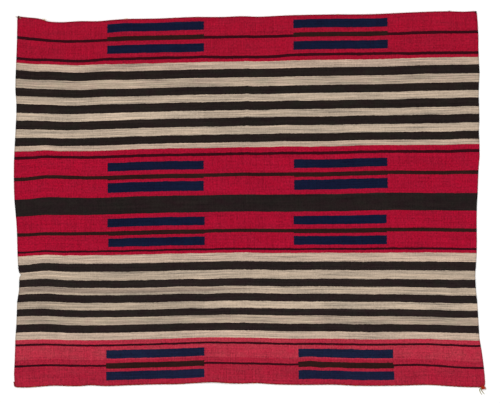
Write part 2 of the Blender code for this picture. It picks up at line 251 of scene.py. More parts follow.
def softened(edge: Sequence[EdgePoint], along: np.ndarray) -> np.ndarray:
    """An edge's wander averaged over 120 mm, as the weave further in follows it."""
    offsets = (-60.0, -30.0, 0.0, 30.0, 60.0)
    return sum(wander(edge, np.clip(along + offset, 0, edge[-1].along)) for offset in offsets) / len(offsets)


def swell(offset_x: np.ndarray, half_x: float, offset_y: np.ndarray, half_y: float) -> np.ndarray:
    """A soft hump: the square of two quarter cosines, 1 in the middle and 0 from its half sizes on."""
    share_x = np.clip(np.abs(offset_x) / half_x, 0, 1)
    share_y = np.clip(np.abs(offset_y) / half_y, 0, 1)
    return (np.cos(share_x * math.pi / 2) * np.cos(share_y * math.pi / 2)) ** 2


@dataclass
class RugField:
    """Where the flat weave lies on the floor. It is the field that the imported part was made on.

    Attributes:
        shift_x: what takes the rug's own x to the frame's, in millimetres.
        shift_y: the same for y.
    """

    shift_x: float = 0.0
    shift_y: float = 0.0

    def place(self, across: np.ndarray, up: np.ndarray) -> tuple[np.ndarray, np.ndarray]:
        """The place of a point of the weave.

        A four-sided field between the corners, with each end edge's wander shared out over the length and
        each side edge's dying away inwards. The corners are then drawn in, and the wefts pulled off their
        lines.

        Args:
            across: share of the width, from the left.
            up: share of the length, from the bottom end.

        Returns:
            x and y in the rug's own millimetres.
        """
        x = (1 - up) * ((1 - across) * BOTTOM_LEFT.x + across * BOTTOM_RIGHT.x)
        x = x + up * ((1 - across) * TOP_LEFT.x + across * TOP_RIGHT.x)
        y = (1 - up) * ((1 - across) * BOTTOM_LEFT.y + across * BOTTOM_RIGHT.y)
        y = y + up * ((1 - across) * TOP_LEFT.y + across * TOP_RIGHT.y)
        for edge, share, along, way in (
            (TOP_EDGE, up, across * chord(TOP_LEFT, TOP_RIGHT), 1),
            (BOTTOM_EDGE, 1 - up, across * chord(BOTTOM_LEFT, BOTTOM_RIGHT), -1),
        ):
            fine = wander(edge, along)
            soft = softened(edge, along)
            near = np.clip(1 - (1 - share) * LENGTH / EDGE_REACH, 0, 1) ** 2
            y = y + way * share * (soft + (fine - soft) * near)
        left = np.clip(1 - across / SIDE_PULL, 0, 1) ** 2
        right = np.clip(1 - (1 - across) / SIDE_PULL, 0, 1) ** 2
        x = x - left * wander(LEFT_EDGE, (1 - up) * chord(TOP_LEFT, BOTTOM_LEFT))
        x = x + right * wander(RIGHT_EDGE, (1 - up) * chord(TOP_RIGHT, BOTTOM_RIGHT))
        for corner in (TOP_LEFT, TOP_RIGHT, BOTTOM_RIGHT, BOTTOM_LEFT):
            near = np.clip(1 - np.hypot(x - corner.x, y - corner.y) / corner.reach, 0, 1)
            inwards = corner.draw * near**2 / math.sqrt(2)
            x = x - math.copysign(1, corner.x) * inwards
            y = y - math.copysign(1, corner.y) * inwards
        for pull in PULLS:
            offset_x = across * WIDTH - pull.across
            offset_y = (1 - up) * LENGTH - pull.down
            y = y + pull.lift * swell(offset_x, pull.half_across, offset_y, pull.half_down)
        return x, y

    def rise(self, x: np.ndarray, y: np.ndarray) -> np.ndarray:
        """How high the underside stands off the floor there: the tallest of the soft humps."""
        height = np.zeros(np.broadcast(x, y).shape)
        for hump in RISES:
            share = swell(x - hump.x, hump.half_x, y - hump.y, hump.half_y)
            height = np.maximum(height, hump.height * share)
        return height

    def metres(self, points: np.ndarray) -> np.ndarray:
        """Points in the rug's own millimetres as metres in the frame."""
        return (points + np.array([self.shift_x, self.shift_y, 0.0])) * MM

    def settle(self, low: Sequence[float], high: Sequence[float]) -> None:
        """Moves the field so that the sheet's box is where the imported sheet's is.

        Args:
            low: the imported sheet's lowest corner in metres.
            high: its highest corner in metres.
        """
        inset = (CORD_THICKNESS + CORD_GAP) / chord(TOP_LEFT, BOTTOM_LEFT)
        x, y = self.place(np.linspace(0, 1, 801)[None, :], np.linspace(inset, 1 - inset, 401)[:, None])
        self.shift_x = (low[0] + high[0]) / 2 / MM - (x.min() + x.max()) / 2
        self.shift_y = (low[1] + high[1]) / 2 / MM - (y.min() + y.max()) / 2


@dataclass
class Surface:
    """Points with the quads and triangles between them.

    Each point also has a tint from 0 to 1, and a place in its yarn: how far along it is, and where it lies
    across in axes that turn with the yarn's twist.
    """

    points: np.ndarray
    quads: np.ndarray
    triangles: np.ndarray
    tint: np.ndarray
    yarn: np.ndarray

    @staticmethod
    def joined(parts: Sequence[Surface]) -> Surface:
        """Several surfaces as one, with their faces renumbered."""
        starts = np.cumsum([0] + [len(part.points) for part in parts[:-1]])
        return Surface(
            np.concatenate([part.points for part in parts]),
            np.concatenate([part.quads + start for part, start in zip(parts, starts)]),
            np.concatenate([part.triangles + start for part, start in zip(parts, starts)]),
            np.concatenate([part.tint for part in parts]),
            np.concatenate([part.yarn for part in parts]),
        )

    def build(self, name: str, rug: RugField) -> bpy.types.Object:
        """The surface as a smooth mesh object in the frame. Its height is at least the floor's.

        Args:
            name: the piece's name.
            rug: the field whose shift takes the points to the frame.

        Returns:
            The new object, at the origin.
        """
        mesh = bpy.data.meshes.new(name)
        points = rug.metres(self.points)
        points[:, 2] = np.maximum(points[:, 2], 0)
        sizes = np.concatenate([np.full(len(self.quads), 4), np.full(len(self.triangles), 3)])
        corners = np.concatenate([self.quads.ravel(), self.triangles.ravel()])
        mesh.vertices.add(len(points))
        mesh.vertices.foreach_set("co", points.astype(np.float32).ravel())
        mesh.loops.add(len(corners))
        mesh.loops.foreach_set("vertex_index", corners.astype(np.int32))
        mesh.polygons.add(len(sizes))
        mesh.polygons.foreach_set("loop_start", (np.cumsum(sizes) - sizes).astype(np.int32))
        mesh.polygons.foreach_set("use_smooth", np.ones(len(sizes), bool))
        tint = mesh.attributes.new("tint", "FLOAT", "POINT")
        tint.data.foreach_set("value", self.tint.astype(np.float32))
        yarn = mesh.attributes.new("yarn", "FLOAT_VECTOR", "POINT")
        yarn.data.foreach_set("vector", self.yarn.astype(np.float32).ravel())
        mesh.update(calc_edges=True)
        mesh.validate()
        made = bpy.data.objects.new(name, mesh)
        bpy.context.scene.collection.objects.link(made)
        LOG.info("%s: %d faces", name, len(sizes))
        return made


def frames(path: np.ndarray, closed: bool) -> tuple[np.ndarray, np.ndarray]:
    """The level side and the upward direction square to a path, at each of its points."""
    if closed:
        along = np.roll(path, -1, 0) - np.roll(path, 1, 0)
    else:
        along = np.gradient(path, axis=0)
    along = along / np.linalg.norm(along, axis=1, keepdims=True)
    side = np.cross(along, [0.0, 0.0, 1.0])
    side = side / np.maximum(np.linalg.norm(side, axis=1, keepdims=True), 1e-6)
    return side, np.cross(side, along)


def tube(
    path: np.ndarray, radius: np.ndarray, sides: int, tint: float, closed: bool = False
) -> Surface:
    """A closed tube along a path.

    Each ring is the path's point plus radius times (side cos a + up sin a). An open tube ends in two poles.

    Args:
        path: points along the middle line, n by 3.
        radius: the radius of each ring, n, or of each point of each ring, n by sides.
        sides: points in a ring.
        tint: the tint of all its points.
        closed: whether the path joins its own start.

    Returns:
        The tube's surface.
    """
    side, up = frames(path, closed)
    angle = np.arange(sides) * 2 * math.pi / sides
    reach = np.broadcast_to(np.reshape(radius, (len(path), -1)), (len(path), sides))
    ring = side[:, None] * np.cos(angle)[None, :, None] + up[:, None] * np.sin(angle)[None, :, None]
    points = (path[:, None] + ring * reach[:, :, None]).reshape(-1, 3)
    at = run_length(path)[:, None]
    turned = angle[None, :] - at * (2 * math.pi / TWIST_PITCH)
    lengthwise = np.broadcast_to(at * FIBRE_STRETCH, reach.shape)
    yarn = np.stack([lengthwise, np.cos(turned) * reach, np.sin(turned) * reach], axis=-1).reshape(-1, 3)
    rings = len(path) if closed else len(path) - 1
    i, k = np.meshgrid(np.arange(rings), np.arange(sides), indexing="ij")
    after, turn = (i + 1) % len(path), (k + 1) % sides
    quads = np.stack(
        [i * sides + k, after * sides + k, after * sides + turn, i * sides + turn], axis=-1
    ).reshape(-1, 4)
    triangles = np.zeros((0, 3), int)
    if not closed:
        around = np.arange(sides)
        around_next = (around + 1) % sides
        start, last = len(points), (len(path) - 1) * sides
        first_fan = np.stack([np.full(sides, start), around, around_next], axis=-1)
        last_fan = np.stack([np.full(sides, start + 1), last + around_next, last + around], axis=-1)
        triangles = np.concatenate([first_fan, last_fan])
        points = np.concatenate([points, path[:1], path[-1:]])
        tips = np.array([[0.0, 0.0, 0.0], [at[-1, 0] * FIBRE_STRETCH, 0.0, 0.0]])
        yarn = np.concatenate([yarn, tips])
    return Surface(points, quads, triangles, np.full(len(points), tint), yarn)


def plied(length: np.ndarray, sides: int, pitch: float, depth: float) -> np.ndarray:
    """The relief of a two-ply yarn: 1 plus depth times cos 2(angle - turn). The turn rises with length."""
    angle = np.arange(sides) * 2 * math.pi / sides
    return 1 + depth * np.cos(2 * (angle[None, :] - math.pi * length[:, None] / pitch))


def run_length(path: np.ndarray) -> np.ndarray:
    """The distance along a path up to each of its points."""
    steps = np.linalg.norm(np.diff(path, axis=0), axis=1)
    return np.concatenate([[0.0], np.cumsum(steps)])


def resampled(path: np.ndarray, values: np.ndarray, step: float) -> tuple[np.ndarray, np.ndarray]:
    """A path and a value along it, read at even steps from smooth curves through their points."""
    at = run_length(path)
    where = np.linspace(0, at[-1], max(int(at[-1] / step), 3) + 1)
    smooth = np.stack([hermite(at, path[:, axis], where) for axis in range(3)], axis=-1)
    return smooth, np.interp(where, at, values)


class Value:
    """A socket of a shader tree. Arithmetic on it adds Math nodes."""

    def __init__(self, shader: Shader, socket: bpy.types.NodeSocket) -> None:
        """Wraps one output socket of a shader's tree."""
        self.shader = shader
        self.socket = socket

    def math(self, operation: str, *others: Value | float) -> Value:
        """A Math node of this value and others."""
        values = {i: value for i, value in enumerate((self, *others))}
        return self.shader.node("ShaderNodeMath", {"operation": operation}, values)

    def __add__(self, other: Value | float) -> Value:
        """Their sum."""
        return self.math("ADD", other)

    __radd__ = __add__

    def __sub__(self, other: Value | float) -> Value:
        """This less the other."""
        return self.math("SUBTRACT", other)

    def __rsub__(self, other: float) -> Value:
        """The other less this."""
        return (self * -1.0) + other

    def __mul__(self, other: Value | float) -> Value:
        """Their product."""
        return self.math("MULTIPLY", other)

    __rmul__ = __mul__

    def above(self, limit: Value | float) -> Value:
        """1 where this is greater than the limit, otherwise 0."""
        return self.math("GREATER_THAN", limit)

    def between(self, low: float, high: float) -> Value:
        """1 where this lies between two limits, otherwise 0."""
        return self.above(low) - self.above(high)

    def fade(self, low: float, high: float) -> Value:
        """A smooth step that goes from 0 at low to 1 at high."""
        settings = {"interpolation_type": "SMOOTHSTEP"}
        inputs = {"Value": self, "From Min": low, "From Max": high}
        return self.shader.node("ShaderNodeMapRange", settings, inputs)


class Shader:
    """A material being put together from nodes."""

    def __init__(self, name: str) -> None:
        """Starts a material with only a Principled BSDF and its output."""
        self.material = bpy.data.materials.new(name)
        self.material.use_nodes = True
        self.tree = self.material.node_tree
        self.surface = self.tree.nodes["Principled BSDF"]

    def node(
        self, kind: str, settings: dict[str, Any], inputs: dict[Any, Any], output: int | str = 0
    ) -> Value:
        """Adds one node.

        Args:
            kind: its type.
            settings: its own properties. "stops" is a ramp's list of (position, colour).
            inputs: what each input socket is linked to or set to.
            output: which of its outputs to return.

        Returns:
            That output.
        """
        made = self.tree.nodes.new(kind)
        for key, setting in settings.items():
            if key == "stops":
                self.set_stops(made.color_ramp, setting)
            else:
                setattr(made, key, setting)
        for key, value in inputs.items():
            self.feed(made.inputs[key], value)
        return Value(self, made.outputs[output])

    def feed(self, socket: bpy.types.NodeSocket, value: Any) -> None:
        """Links a value to a socket, or sets the socket to a number or a tuple."""
        if isinstance(value, Value):
            self.tree.links.new(value.socket, socket)
        else:
            socket.default_value = value

    @staticmethod
    def set_stops(ramp: bpy.types.ColorRamp, stops: Sequence[tuple[float, Sequence[float]]]) -> None:
        """Gives a ramp these stops, each holding its colour up to the next."""
        ramp.interpolation = "CONSTANT"
        while len(ramp.elements) < len(stops):
            ramp.elements.new(1.0)
        for element, (position, colour) in zip(ramp.elements, stops):
            element.position = position
            element.color = colour

    def noise(self, vector: Value, scale: float, detail: float = 2.0, roughness: float = 0.5) -> Value:
        """Smooth noise from 0 to 1, about a half."""
        inputs = {"Vector": vector, "Scale": scale, "Detail": detail, "Roughness": roughness}
        return self.node("ShaderNodeTexNoise", {}, inputs)

    def combine(self, x: Value | float, y: Value | float, z: Value | float = 0.0) -> Value:
        """Three numbers as a vector."""
        return self.node("ShaderNodeCombineXYZ", {}, {"X": x, "Y": y, "Z": z})

    def grain(self, kind: Grain, across: Value, down: Value) -> Value:
        """A grain of the wool at a place of the weave, from 0 to 1."""
        place = self.combine(across * kind.across, down * kind.down, kind.seed)
        return self.noise(place, 1.0, kind.detail, kind.roughness)

    def mix(self, factor: Value | float, first: Any, second: Any) -> Value:
        """A colour between two, by a factor. A tuple has red, green and blue."""
        inputs = {
            0: factor,
            6: first if isinstance(first, Value) else (*first, 1.0),
            7: second if isinstance(second, Value) else (*second, 1.0),
        }
        return self.node("ShaderNodeMix", {"data_type": "RGBA"}, inputs, 2)

    def scaled(self, colour: Value, factor: Value) -> Value:
        """A colour made lighter or darker by a factor."""
        return self.node("ShaderNodeVectorMath", {"operation": "SCALE"}, {0: colour, "Scale": factor})

    def tinted(self, colour: Value, by: Value) -> Value:
        """A colour times another."""
        return self.node("ShaderNodeVectorMath", {"operation": "MULTIPLY"}, {0: colour, 1: by})

    def bump(self, height: Value, distance: float, strength: float = 1.0) -> None:
        """Puts a fine relief on the surface: height from 0 to 1 over a distance in metres."""
        inputs = {"Height": height, "Distance": distance, "Strength": strength}
        self.feed(self.surface.inputs["Normal"], self.node("ShaderNodeBump", {}, inputs))

    def finish(self, colour: Value, roughness: Value | float, sheen: float) -> bpy.types.Material:
        """Sets the colour and the gloss of wool, and returns the material."""
        self.feed(self.surface.inputs["Base Color"], colour)
        self.feed(self.surface.inputs["Roughness"], roughness)
        self.surface.inputs["Sheen Weight"].default_value = sheen
        self.surface.inputs["Sheen Roughness"].default_value = 0.6
        self.surface.inputs["Specular IOR Level"].default_value = 0.04
        return self.material


@dataclass(frozen=True)
class Yarn:
    """A dyed or natural wool: its colour, and how strongly the streaks of its carding show."""

    colour: tuple[float, float, float]
    streak: float


CRIMSON = Yarn(srgb(154, 16, 43), 0.35)
MIDDLE_CRIMSON = Yarn(srgb(158, 13, 44), 0.35)
LIGHT_CRIMSON = Yarn(srgb(173, 46, 64), 0.4)
LOW_CRIMSON = Yarn(srgb(160, 31, 53), 0.35)
IVORY = Yarn(srgb(179, 161, 142), 1.0)
WARM_IVORY = Yarn(srgb(180, 158, 140), 1.0)
PALE_IVORY = Yarn(srgb(186, 164, 146), 1.0)
GREY_IVORY = Yarn(srgb(171, 153, 135), 1.1)
DARK_BROWN = Yarn(srgb(34, 27, 25), 0.6)
LOW_BROWN = Yarn(srgb(37, 29, 28), 0.6)
MIDDLE_BROWN = Yarn(srgb(34, 26, 26), 0.5)
FINE_BROWN = Yarn(srgb(50, 8, 18), 0.4)
BAR_BROWN = Yarn(srgb(42, 22, 20), 0.5)
INDIGO = Yarn(srgb(15, 22, 47), 0.6)
LOW_INDIGO = Yarn(srgb(22, 28, 54), 0.6)
TAUPE = srgb(150, 132, 118)


@dataclass(frozen=True)
class Grain:
    """A kind of unevenness in the wool.

    Attributes:
        across: how often it changes along the wefts, per millimetre.
        down: how often it changes down the warps, per millimetre.
        seed: sets it apart from the others.
        detail: how many finer steps it has.
        roughness: how strong the finer steps are.
    """

    across: float
    down: float
    seed: float = 0.0
    detail: float = 2.0
    roughness: float = 0.5


SLOW_STRAY = Grain(0.02, 0.03)
QUICK_STRAY = Grain(0.11, 0.06, 7.0)
LONG_STREAK = Grain(0.0035, 0.24, 0.0, 1.0)
SHORT_STREAK = Grain(0.012, 0.42, 3.0, 1.0)
CARDING = Grain(0.03, 0.3, 9.0, 2.0, 0.6)
PATCHES = Grain(0.004, 0.022, 11.0)
DYE = Grain(0.016, 0.03, 17.0, 3.0, 0.6)
MOTTLE = Grain(0.2, 0.13, 21.0, 2.0, 0.8)
WARP_LINES = Grain(0.24, 0.012, 33.0, 2.0, 0.8)
SPECKLE = Grain(0.55, 0.9, 5.0)
BEAD_DRIFT = Grain(0.3, 0.3, 41.0, 1.0)
FIBRES = Grain(0.9, 4.0, 2.0, 3.0, 0.6)


@dataclass(frozen=True)
class Stripe:
    """A stripe from side to side: its middle in millimetres from the top end, its depth and its yarn."""

    middle: float
    depth: float
    yarn: Yarn


@dataclass(frozen=True)
class Zone:
    """A ground colour that starts some millimetres from the top end."""

    start: float
    yarn: Yarn


@dataclass(frozen=True)
class Bar:
    """A bar of the blocks: where it starts and ends, in millimetres from the top end, and its yarn."""

    start: float
    end: float
    yarn: Yarn


@dataclass(frozen=True)
class BlockColumns:
    """Where the left and the right blocks of a band lie, in millimetres from the left side of the weave."""

    low: float
    high: float
    left_start: float
    left_end: float
    right_start: float
    right_end: float


ZONES = (
    Zone(0.0, CRIMSON),
    Zone(170.9, WARM_IVORY),
    Zone(217.0, GREY_IVORY),
    Zone(282.0, IVORY),
    Zone(342.0, IVORY),
    Zone(404.0, IVORY),
    Zone(467.0, WARM_IVORY),
    Zone(501.3, MIDDLE_CRIMSON),
    Zone(907.9, PALE_IVORY),
    Zone(957.0, IVORY),
    Zone(1018.0, IVORY),
    Zone(1133.0, GREY_IVORY),
    Zone(1190.0, PALE_IVORY),
    Zone(1234.1, LIGHT_CRIMSON),
    Zone(1311.0, LOW_CRIMSON),
)
STRIPES = (
    Stripe(76.0, 10.2, FINE_BROWN),
    Stripe(154.5, 9.9, FINE_BROWN),
    Stripe(216.4, 31.3, DARK_BROWN),
    Stripe(282.4, 30.6, DARK_BROWN),
    Stripe(341.6, 32.0, DARK_BROWN),
    Stripe(404.0, 33.0, DARK_BROWN),
    Stripe(466.4, 29.6, DARK_BROWN),
    Stripe(526.4, 10.4, FINE_BROWN),
    Stripe(606.0, 13.8, BAR_BROWN),
    Stripe(715.4, 67.6, MIDDLE_BROWN),
    Stripe(822.0, 14.6, BAR_BROWN),
    Stripe(893.0, 7.6, FINE_BROWN),
    Stripe(956.1, 32.2, LOW_BROWN),
    Stripe(1021.2, 30.0, LOW_BROWN),
    Stripe(1077.2, 28.8, LOW_BROWN),
    Stripe(1133.6, 28.6, LOW_BROWN),
    Stripe(1191.8, 30.3, LOW_BROWN),
    Stripe(1253.0, 8.4, FINE_BROWN),
    Stripe(1332.6, 9.8, FINE_BROWN),
)
BARS = (
    Bar(13.7, 49.0, INDIGO),
    Bar(62.5, 81.2, BAR_BROWN),
    Bar(97.2, 132.0, INDIGO),
    Bar(546.9, 582.4, INDIGO),
    Bar(598.2, 613.0, BAR_BROWN),
    Bar(626.0, 666.3, INDIGO),
    Bar(765.3, 796.7, INDIGO),
    Bar(814.4, 828.8, BAR_BROWN),
    Bar(843.5, 873.2, INDIGO),
    Bar(1273.5, 1305.9, LOW_INDIGO),
    Bar(1322.1, 1340.3, BAR_BROWN),
    Bar(1355.9, 1389.7, LOW_INDIGO),
)
BLOCKS = (
    BlockColumns(0.0, 340.0, 347.6, 721.0, 1067.5, 1433.0),
    BlockColumns(340.0, 715.0, 350.4, 719.5, 1064.7, 1423.0),
    BlockColumns(715.0, 820.0, 351.6, 721.0, 1060.7, 1415.0),
    BlockColumns(820.0, 1080.0, 354.3, 722.0, 1062.0, 1415.0),
    BlockColumns(1080.0, 1330.0, 348.3, 719.2, 1073.5, 1433.5),
    BlockColumns(1330.0, 1420.0, 347.9, 719.6, 1072.6, 1435.5),
)


@dataclass(frozen=True)
class LazyLine:
    """A faint slanting joint between two patches of one colour: a point of it, its slope and its reach."""

    across: float
    down: float
    slope: float
    reach: float


LAZY_LINES = (
    LazyLine(1092.0, 236.0, -0.28, 11.0),
    LazyLine(520.0, 315.0, 0.62, 10.0),
    LazyLine(880.0, 310.0, -0.55, 11.0),
    LazyLine(690.0, 375.0, 0.6, 12.0),
    LazyLine(1290.0, 436.0, -0.6, 12.0),
    LazyLine(300.0, 990.0, 0.6, 12.0),
    LazyLine(1180.0, 1046.0, -0.6, 11.0),
    LazyLine(760.0, 1160.0, 0.58, 12.0),
)


@dataclass(frozen=True)
class Batch:
    """A stretch of an ivory stripe that is woven from a paler or a darker batch of wool.

    It lies between two places down the rug and two places across it, all in millimetres, and its wool is as
    many times as bright as tone says.
    """

    low: float
    high: float
    start: float
    end: float
    tone: float


BATCHES = (
    Batch(345.0, 402.0, -20.0, 722.0, 1.12),
    Batch(345.0, 402.0, 722.0, 1800.0, 0.93),
    Batch(1080.0, 1131.0, -20.0, 722.0, 0.92),
    Batch(1080.0, 1131.0, 722.0, 1800.0, 1.08),
)


@dataclass(frozen=True)
class Packing:
    """A stretch where one fine stripe is packed closer to the top end. Its lengths are in millimetres.

    Attributes:
        start: where it starts, from the left side.
        end: where it ends.
        middle: where the stripe's middle would be, from the top end.
        lift: how much closer to the top end the stripe lies.
        soft: over how much of the width the lift fades.
        half: how far the full lift reaches above and below the middle.
        edge: over how much more it fades there.
    """

    start: float
    end: float
    middle: float
    lift: float
    soft: float = 90.0
    half: float = 10.0
    edge: float = 8.0


PACKINGS = (
    Packing(360.0, 715.0, 154.5, 3.2),
    Packing(1070.0, 1440.0, 154.5, 5.0),
)


@dataclass(frozen=True)
class TapestryFinish:
    """The wool of the sheet, coloured by its draft. Lengths are in millimetres.

    Attributes:
        half: where the draft is parted in two, because one ramp can't hold all its stripes.
        slow_stray: how far a stripe's edge strays in long waves.
        quick_stray: how far it strays in short waves.
        step_stray: how far a block's upright edge strays.
        batch_stray: how far the joint between two batches strays.
        tooth: how often a block's upright edge steps, per millimetre.
    """

    half: float = 715.0
    slow_stray: float = 4.08
    quick_stray: float = 2.72
    step_stray: float = 8.8
    batch_stray: float = 40.0
    tooth: float = 0.16

    def stops(self, low: float, high: float) -> list[tuple[float, tuple[float, ...]]]:
        """The ground's colours between two places, as ramp stops. Their alpha is the yarn's streak."""
        marks = [(zone.start, zone.yarn) for zone in ZONES]
        for stripe in STRIPES:
            end = stripe.middle + stripe.depth / 2
            ground = [zone.yarn for zone in ZONES if zone.start <= end][-1]
            marks = [mark for mark in marks if not stripe.middle - stripe.depth / 2 <= mark[0] <= end]
            marks += [(stripe.middle - stripe.depth / 2, stripe.yarn), (end, ground)]
        marks.sort(key=lambda mark: mark[0])
        before = [mark for mark in marks if mark[0] <= low][-1]
        inside = [(low, before[1])] + [mark for mark in marks if low < mark[0] < high]
        return [((at - low) / (high - low), (*yarn.colour, yarn.streak)) for at, yarn in inside]

    def ground(self, shader: Shader, down: Value) -> tuple[Value, Value]:
        """The colour and the streak of the ground at a distance from the top end."""
        lower = down.above(self.half)
        colours, streaks = [], []
        for low, high in ((0.0, self.half), (self.half, LENGTH)):
            factor = (down - low) * (1 / (high - low))
            ramp = shader.node("ShaderNodeValToRGB", {"stops": self.stops(low, high)}, {0: factor})
            colours.append(ramp)
            streaks.append(Value(shader, ramp.socket.node.outputs["Alpha"]))
        colour = shader.mix(lower, *colours)
        return colour, streaks[0] * (1 - lower) + streaks[1] * lower

    def bars(self, shader: Shader, across: Value, down: Value) -> tuple[Value, Value]:
        """The colour of the blocks' bars, and 1 where a bar lies, otherwise 0."""
        stops = [(0.0, (0.0, 0.0, 0.0, 0.0))]
        for bar in BARS:
            stops.append((bar.start / LENGTH, (*bar.yarn.colour, 1.0)))
            stops.append((bar.end / LENGTH, (0.0, 0.0, 0.0, 0.0)))
        ramp = shader.node("ShaderNodeValToRGB", {"stops": stops}, {0: down * (1 / LENGTH)})
        inside = None
        for band in BLOCKS:
            columns = across.between(band.left_start, band.left_end)
            columns = columns + across.between(band.right_start, band.right_end)
            here = columns * down.between(band.low, band.high)
            inside = here if inside is None else inside + here
        return ramp, inside * Value(shader, ramp.socket.node.outputs["Alpha"])

    def lazy_lines(self, across: Value, down: Value) -> Value:
        """1 on the lazy lines, otherwise 0."""
        found = None
        for line in LAZY_LINES:
            offset = down - line.down
            off_line = (across - line.across - offset * (1 / line.slope)).math("ABSOLUTE")
            near = off_line.fade(4.5, 1.0) * offset.math("ABSOLUTE").fade(line.reach + 1, line.reach - 1)
            found = near if found is None else found + near
        return found

    def packed(self, across: Value, down: Value) -> Value:
        """The place down the draft once each stretch's packing is added: a soft box times its lift."""
        for packing in PACKINGS:
            off_middle = (down - packing.middle).math("ABSOLUTE")
            box = off_middle.fade(packing.half + packing.edge, packing.half)
            box = box * across.fade(packing.start - packing.soft, packing.start)
            box = box * across.fade(packing.end + packing.soft, packing.end)
            down = down + box * packing.lift
        return down

    def batches(self, across: Value, down: Value) -> Value:
        """How bright the wool is for its batch: 1 plus each batch's own difference where it lies."""
        tone = None
        for batch in BATCHES:
            inside = down.between(batch.low, batch.high) * across.between(batch.start, batch.end)
            part = inside * (batch.tone - 1)
            tone = part if tone is None else tone + part
        return 1 + tone

    def taupe_core(self, across: Value, down: Value, stray: Value) -> Value:
        """The taupe heart of one ivory stripe, which runs from the left side to a point."""
        end = 930.0 - (down - 1047.0).math("ABSOLUTE") * 26.0
        return (down + stray * 2.0).between(1038.5, 1056.5) * (1 - across.above(end))

    def draft(self, shader: Shader, across: Value, down: Value) -> tuple[Value, Value]:
        """The yarn at each place: stripes on the ground, then the blocks, the taupe heart and the batches.

        Args:
            shader: the material being made.
            across: millimetres from the left side.
            down: millimetres from the top end.

        Returns:
            The yarn's colour, and how strongly its streaks show.
        """
        slow = shader.grain(SLOW_STRAY, across, down) - 0.5
        quick = shader.grain(QUICK_STRAY, across, down) - 0.5
        strayed = down + slow * self.slow_stray + quick * self.quick_stray
        teeth = shader.noise(shader.combine(3.0, down * self.tooth), 1.0, 3.0) - 0.5
        stepped = (across + teeth * self.step_stray).math("SNAP", RIB_PITCH)

        colour, streak = self.ground(shader, self.packed(across, strayed))
        bar_colour, bar = self.bars(shader, stepped, strayed)
        colour = shader.mix(bar, colour, bar_colour)
        streak = streak * (1 - bar) + bar * INDIGO.streak
        colour = shader.mix(self.taupe_core(across, down, quick), colour, TAUPE)
        tone = self.batches(across + teeth * self.batch_stray, strayed)
        return shader.scaled(colour, tone), streak

    def carded(self, shader: Shader, colour: Value, streak: Value, across: Value, down: Value) -> Value:
        """The colour with its wool's unevenness: streaks, mottle, dye and lazy lines, and painted shade along
        the side selvages.

        Args:
            shader: the material being made.
            colour: the draft's colour.
            streak: how strongly the yarn's streaks show.
            across: millimetres from the left side.
            down: millimetres from the top end.

        Returns:
            The uneven colour.
        """
        long_streak = shader.grain(LONG_STREAK, across, down) - 0.5
        patches = shader.grain(PATCHES, across, down) - 0.5
        tone = long_streak * 1.5 + (shader.grain(SHORT_STREAK, across, down) - 0.5) * 0.9
        tone = tone + (shader.grain(CARDING, across, down) - 0.5) * 0.6 + patches * 0.6
        grain = (shader.grain(MOTTLE, across, down) - 0.5) * 1.9
        grain = grain + (shader.grain(WARP_LINES, across, down) - 0.5)
        shade = 1 + tone * streak + grain * (1.2 - streak * 0.8)

        grey = (long_streak * -2.2 + patches * -1.2) * streak + 0.35
        cast = shader.mix(grey, (1.02, 0.995, 0.97), (0.975, 1.005, 1.03))
        colour = shader.tinted(shader.scaled(colour, shade), cast)
        dye = (shader.grain(DYE, across, down) - 0.5) * (1 - streak) * 4.2 + 0.5
        colour = shader.tinted(colour, shader.mix(dye, (1.03, 0.75, 0.93), (0.97, 1.25, 1.07)))
        colour = shader.scaled(colour, 1 - self.lazy_lines(across, down) * 0.12)
        # Painted shade: the colour is darkened by up to 22 % within 6 mm of each side, standing in for the
        # shade where the rounded selvage falls away.
        margin = across.fade(6.0, 2.5) + across.fade(WIDTH - 6.0, WIDTH - 2.5)
        return shader.scaled(colour, 1 - margin * 0.22)

    @staticmethod
    def beaten(shader: Shader, across: Value, down: Value) -> Value:
        """The wefts' relief, from 0 to 1: a cosine down each rib, half a step on from rib to rib."""
        rib = across * (1 / RIB_PITCH)
        crest = (rib * math.pi).math("COSINE").math("ABSOLUTE")
        drift = shader.grain(BEAD_DRIFT, across, down) * 1.2
        turn = (down + drift) * (2 * math.pi / BEAD_PITCH) + (rib + 0.5).math("FLOOR") * math.pi
        return (turn.math("COSINE") * 0.5 + 0.5) * crest

    def material(self) -> bpy.types.Material:
        """Builds the material. It reads the weave's own map, in metres along the wefts and down the warps."""
        shader = Shader("woven_wool")
        weave = shader.node("ShaderNodeUVMap", {"uv_map": "weave"}, {})
        split = shader.node("ShaderNodeSeparateXYZ", {}, {0: weave})
        across = split * (1 / MM)
        down = Value(shader, split.socket.node.outputs["Y"]) * (1 / MM)
        colour, streak = self.draft(shader, across, down)
        colour = self.carded(shader, colour, streak, across, down)
        speckle = shader.grain(SPECKLE, across, down)
        beat = self.beaten(shader, across, down)
        fibres = shader.grain(FIBRES, across, down)
        # Speckle is uneven tone; the beat and fibres factors follow the bump's relief, so they are painted
        # shade in the furrows between the weft beads and the fibres.
        colour = shader.scaled(shader.scaled(colour, 0.93 + speckle * 0.14), 0.8 + beat * 0.3 + fibres * 0.12)
        shader.bump(beat * 0.7 + fibres * 0.5, 0.45 * MM, 0.8)
        return shader.finish(colour, 0.9 + speckle * 0.08, 0.01)


